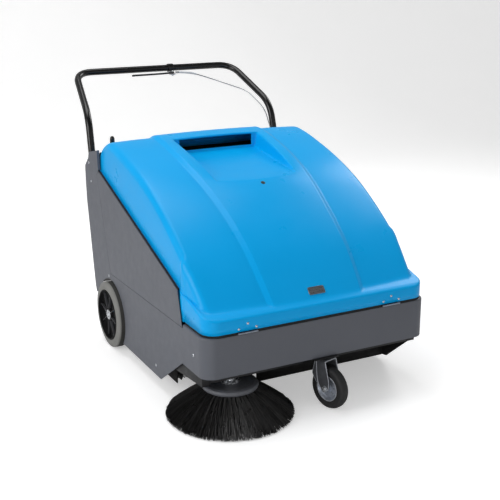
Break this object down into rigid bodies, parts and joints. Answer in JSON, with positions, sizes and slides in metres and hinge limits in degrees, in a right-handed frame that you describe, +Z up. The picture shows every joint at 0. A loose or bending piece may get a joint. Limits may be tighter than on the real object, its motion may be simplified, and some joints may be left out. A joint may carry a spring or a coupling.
{
  "type": "walk-behind floor sweeper",
  "caption": "Pedestrian floor sweeper: grey sheet-metal body, hinged blue moulded hood, bent push handle, two large rear wheels, a front swivel caster, a side brush and a main roller brush",
  "frame": {"origin": "on the floor, under the middle of the whole machine's bounding box", "axes": "+Z up, the front of the machine with the caster and side brush faces -Y, the push handle is at +Y, +X is to the right as seen from in front of the machine"},
  "size_m": [1.0306, 1.635, 1.111],
  "materials": {
    "grey_paint": "satin",
    "black_paint": "satin",
    "blue_plastic": "gloss",
    "black_plastic": "matte",
    "grey_tyre": "matte",
    "black_tyre": "matte",
    "rubber": "matte",
    "bright_steel": "brushed",
    "zinc": "satin",
    "dark_steel": "satin",
    "bristle": "matte",
    "battery_case": "satin",
    "filter_media": "matte",
    "cable": "satin",
    "drive_belt": "matte"
  },
  "bodies": {
    "chassis": {"battery_left": "battery_case", "battery_right": "battery_case", "brush_housing": "black_paint", "brush_motor": "dark_steel", "caster_plate": "zinc", "chassis_frame": "black_paint", "clutch_cable": "cable", "control_box": "black_plastic", "control_lever_bracket": "zinc", "drive_belt": "drive_belt", "fan_housing": "black_plastic", "fan_motor": "dark_steel", "filter_box": "black_plastic", "front_flap": "rubber", "handle_tube": "black_paint", "left_hinge_leaf_fixed": "zinc", "left_hood_seal": "rubber", "left_rear_plate": "grey_paint", "left_side_flap": "rubber", "left_stub_axle": "zinc", "left_upper_panel": "grey_paint", "lever_bracket": "bright_steel", "lower_skirt": "grey_paint", "motor_bracket": "black_paint", "panel_filter": "filter_media", "rear_cover": "grey_paint", "rear_flap": "rubber", "right_hinge_leaf_fixed": "zinc", "right_hood_seal": "rubber", "right_rear_plate": "grey_paint", "right_side_flap": "rubber", "right_stub_axle": "zinc", "right_upper_panel": "grey_paint"},
    "hood": {"hood_shell": "blue_plastic", "left_hinge_leaf_moving": "zinc", "right_hinge_leaf_moving": "zinc"},
    "left_wheel": {"left_tyre": "grey_tyre", "left_rim": "black_paint"},
    "right_wheel": {"right_tyre": "grey_tyre", "right_rim": "black_paint"},
    "caster_swivel": {"caster_fork": "dark_steel", "caster_axle_bolt": "bright_steel"},
    "caster_wheel": {"caster_tyre": "black_tyre", "caster_rim": "zinc"},
    "side_brush_arm": {"side_brush_arm": "dark_steel", "side_brush_motor": "dark_steel"},
    "side_brush": {"side_brush_disc": "black_plastic", "side_brush_bristles": "bristle", "side_brush_hub": "bright_steel"},
    "main_brush": {"main_brush_core": "zinc", "main_brush_bristles": "bristle", "brush_pulley": "zinc"},
    "motor_shaft": {"motor_pulley": "zinc"},
    "tensioner": {"tensioner_arm": "zinc"},
    "idler": {"tensioner_idler": "zinc"},
    "clutch_lever": {"clutch_lever": "black_plastic"},
    "control_lever": {"control_lever": "black_plastic"},
    "hopper": {"hopper": "grey_paint", "hopper_handle": "black_plastic"},
    "fan": {"fan_impeller": "dark_steel"}
  },
  "joints": [
    {"name": "hood_hinge", "type": "hinge", "parent": "chassis", "child": "hood", "pos_m": [0.02565, -0.7079, 0.3493], "axis": [1, 0, 0], "range_deg": [0, 80]},
    {"name": "left_wheel_spin", "type": "hinge", "parent": "chassis", "child": "left_wheel", "pos_m": [-0.44005, 0.2175, 0.1407], "axis": [1, 0, 0], "continuous": true},
    {"name": "right_wheel_spin", "type": "hinge", "parent": "chassis", "child": "right_wheel", "pos_m": [0.49135, 0.2175, 0.1407], "axis": [1, 0, 0], "continuous": true},
    {"name": "caster_swivel_turn", "type": "hinge", "parent": "chassis", "child": "caster_swivel", "pos_m": [0.04365, -0.6895, 0.187], "axis": [0, 0, 1], "continuous": true},
    {"name": "caster_wheel_spin", "type": "hinge", "parent": "caster_swivel", "child": "caster_wheel", "pos_m": [0.05316, -0.72629, 0.08], "axis": [0.9681, 0.2504, 0], "continuous": true},
    {"name": "control_lever_tilt", "type": "hinge", "parent": "chassis", "child": "control_lever", "pos_m": [-0.35935, 0.3655, 0.7], "axis": [-1, 0, 0], "range_deg": [0, 20]},
    {"name": "side_brush_lift", "type": "hinge", "parent": "chassis", "child": "side_brush_arm", "pos_m": [-0.29235, -0.3745, 0.176], "axis": [-1, 0, 0], "range_deg": [0, 6]},
    {"name": "side_brush_spin", "type": "hinge", "parent": "side_brush_arm", "child": "side_brush", "pos_m": [-0.29235, -0.5945, 0.12], "axis": [0, 0, 1], "continuous": true},
    {"name": "brush_motor_spin", "type": "hinge", "parent": "chassis", "child": "motor_shaft", "pos_m": [0.44665, -0.1445, 0.33], "axis": [1, 0, 0], "continuous": true},
    {"name": "main_brush_spin", "type": "hinge", "parent": "chassis", "child": "main_brush", "pos_m": [0.02565, -0.2245, 0.128], "axis": [1, 0, 0], "continuous": true},
    {"name": "clutch_lever_squeeze", "type": "hinge", "parent": "chassis", "child": "clutch_lever", "pos_m": [0.09665, 0.7695, 1.0724], "axis": [0, 0, -1], "range_deg": [0, 15]},
    {"name": "tensioner_swing", "type": "hinge", "parent": "chassis", "child": "tensioner", "pos_m": [0.47165, -0.2175, 0.34], "axis": [1, 0, 0], "range_deg": [0, 6]},
    {"name": "idler_spin", "type": "hinge", "parent": "tensioner", "child": "idler", "pos_m": [0.46165, -0.2455, 0.264], "axis": [1, 0, 0], "continuous": true},
    {"name": "hopper_slide", "type": "slide", "parent": "chassis", "child": "hopper", "axis": [0, 1, 0], "range_m": [0, 0.4]},
    {"name": "fan_spin", "type": "hinge", "parent": "chassis", "child": "fan", "pos_m": [-0.05435, 0.1055, 0.445], "axis": [0, 0, 1], "continuous": true}
  ],
  "couplings": [
    {"joint": "side_brush_lift", "follows": "control_lever_tilt", "ratio": 0.3},
    {"joint": "main_brush_spin", "follows": "brush_motor_spin", "ratio": 0.48},
    {"joint": "tensioner_swing", "follows": "clutch_lever_squeeze", "ratio": 0.4}
  ]
}
